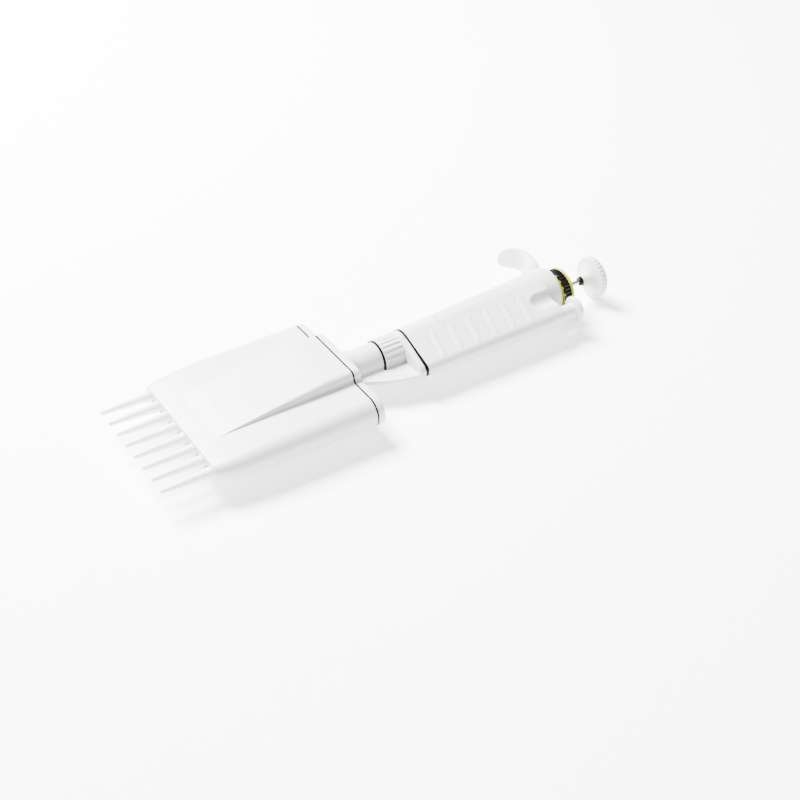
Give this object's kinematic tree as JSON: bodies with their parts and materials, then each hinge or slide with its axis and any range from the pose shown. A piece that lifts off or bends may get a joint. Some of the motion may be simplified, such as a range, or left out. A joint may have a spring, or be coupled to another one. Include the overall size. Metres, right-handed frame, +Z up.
{
  "type": "multichannel pipette",
  "caption": "Hand-held pipette with a row of nozzles in a wide head, sprung plunger button, volume dial, tip ejector and finger hook, lying flat.",
  "frame": {"origin": "on the resting plane, under the middle of the bounding box", "axes": "+X along the pipette's own axis from the nozzles to the push-button, +Y towards the finger hook, +Z up from the face it lies on"},
  "size_m": [0.262, 0.082, 0.025],
  "materials": {
    "white_abs": "moulded, satin gloss",
    "nozzle_pp": "moulded, glossy",
    "plate_film": "satin, blank",
    "yellow_plastic": "moulded, satin gloss",
    "black_plastic": "moulded, matt",
    "clear_pane": "clear",
    "drum_plastic": "moulded, matt",
    "grey_plastic": "moulded, matt",
    "steel": "ground and polished",
    "spring_steel": "drawn wire",
    "aluminium": "machined",
    "seal_rubber": "moulded"
  },
  "bodies": {
    "handle": {"handle_shell": "white_abs", "finger_hook": "white_abs", "label_plate": "plate_film", "counter_window": "clear_pane", "counter_bezel": "grey_plastic", "top_bearing": "black_plastic", "threaded_spigot": "black_plastic", "return_spring": "spring_steel", "blowout_spring": "spring_steel", "stop_washer": "grey_plastic", "ejector_spring": "spring_steel", "ejector_guide": "black_plastic"},
    "volume_dial": {"dial_rim": "yellow_plastic", "dial_band": "black_plastic", "adjusting_screw": "steel"},
    "drum_1": {"counter_drum_1": "drum_plastic"},
    "drum_2": {"counter_drum_2": "drum_plastic"},
    "drum_3": {"counter_drum_3": "drum_plastic"},
    "plunger": {"plunger_rod": "steel", "rod_collar": "steel", "button_bush": "black_plastic", "push_button": "white_abs"},
    "ejector": {"ejector_button": "white_abs", "ejector_rod": "steel", "ejector_arm": "white_abs", "arm_screw": "steel"},
    "coupling": {"coupling_ring": "white_abs"},
    "head": {"neck_tube": "white_abs", "neck_washer": "black_plastic", "carrier_spring": "spring_steel", "head_frame": "aluminium", "frame_screws": "steel", "guide_posts": "steel", "nozzle_plate": "grey_plastic", "seal_plate": "grey_plastic", "piston_seals": "seal_rubber", "cover_springs": "spring_steel", "nozzle_1": "nozzle_pp", "nozzle_2": "nozzle_pp", "nozzle_3": "nozzle_pp", "nozzle_4": "nozzle_pp", "nozzle_5": "nozzle_pp", "nozzle_6": "nozzle_pp", "nozzle_7": "nozzle_pp", "nozzle_8": "nozzle_pp"},
    "piston_drive": {"drive_shaft": "steel", "piston_carrier": "aluminium", "piston_1": "steel", "piston_2": "steel", "piston_3": "steel", "piston_4": "steel", "piston_5": "steel", "piston_6": "steel", "piston_7": "steel", "piston_8": "steel"},
    "cover": {"cover_shell": "white_abs", "comb_plate": "grey_plastic", "cover_cap": "white_abs"}
  },
  "joints": [
    {"name": "volume_dial_turn", "type": "hinge", "parent": "handle", "child": "volume_dial", "pos_m": [0.1057, 0, 0.0125], "axis": [1, 0, 0], "continuous": true},
    {"name": "drum_1_turn", "type": "hinge", "parent": "handle", "child": "drum_1", "pos_m": [0.0671, 0, 0.0125], "axis": [1, 0, 0], "continuous": true},
    {"name": "drum_2_turn", "type": "hinge", "parent": "handle", "child": "drum_2", "pos_m": [0.0717, 0, 0.0125], "axis": [1, 0, 0], "continuous": true},
    {"name": "drum_3_turn", "type": "hinge", "parent": "handle", "child": "drum_3", "pos_m": [0.0763, 0, 0.0125], "axis": [1, 0, 0], "continuous": true},
    {"name": "plunger_slide", "type": "slide", "parent": "volume_dial", "child": "plunger", "axis": [-1, 0, 0], "range_m": [0, 0.0107], "stiffness_N_per_m": 800, "springref_m": -0.005, "deforming": ["return_spring", "blowout_spring"]},
    {"name": "ejector_slide", "type": "slide", "parent": "handle", "child": "ejector", "axis": [-1, 0, 0], "range_m": [0, 0.006], "stiffness_N_per_m": 600, "springref_m": -0.004, "deforming": ["ejector_spring"]},
    {"name": "coupling_ring_turn", "type": "hinge", "parent": "handle", "child": "coupling", "pos_m": [0.0038, 0, 0.0125], "axis": [1, 0, 0], "continuous": true},
    {"name": "head_turn", "type": "hinge", "parent": "handle", "child": "head", "pos_m": [-0.001, 0, 0.0125], "axis": [1, 0, 0], "continuous": true},
    {"name": "piston_slide", "type": "slide", "parent": "head", "child": "piston_drive", "axis": [-1, 0, 0], "range_m": [0, 0.0107], "deforming": ["carrier_spring"]},
    {"name": "cover_slide", "type": "slide", "parent": "head", "child": "cover", "axis": [-1, 0, 0], "range_m": [0, 0.006], "deforming": ["cover_springs"]}
  ],
  "couplings": [
    {"joint": "drum_1_turn", "follows": "volume_dial_turn", "ratio": 1},
    {"joint": "drum_2_turn", "follows": "volume_dial_turn", "ratio": 0.1},
    {"joint": "drum_3_turn", "follows": "volume_dial_turn", "ratio": 0.01},
    {"joint": "piston_slide", "follows": "plunger_slide", "ratio": 1},
    {"joint": "cover_slide", "follows": "ejector_slide", "ratio": 1}
  ]
}
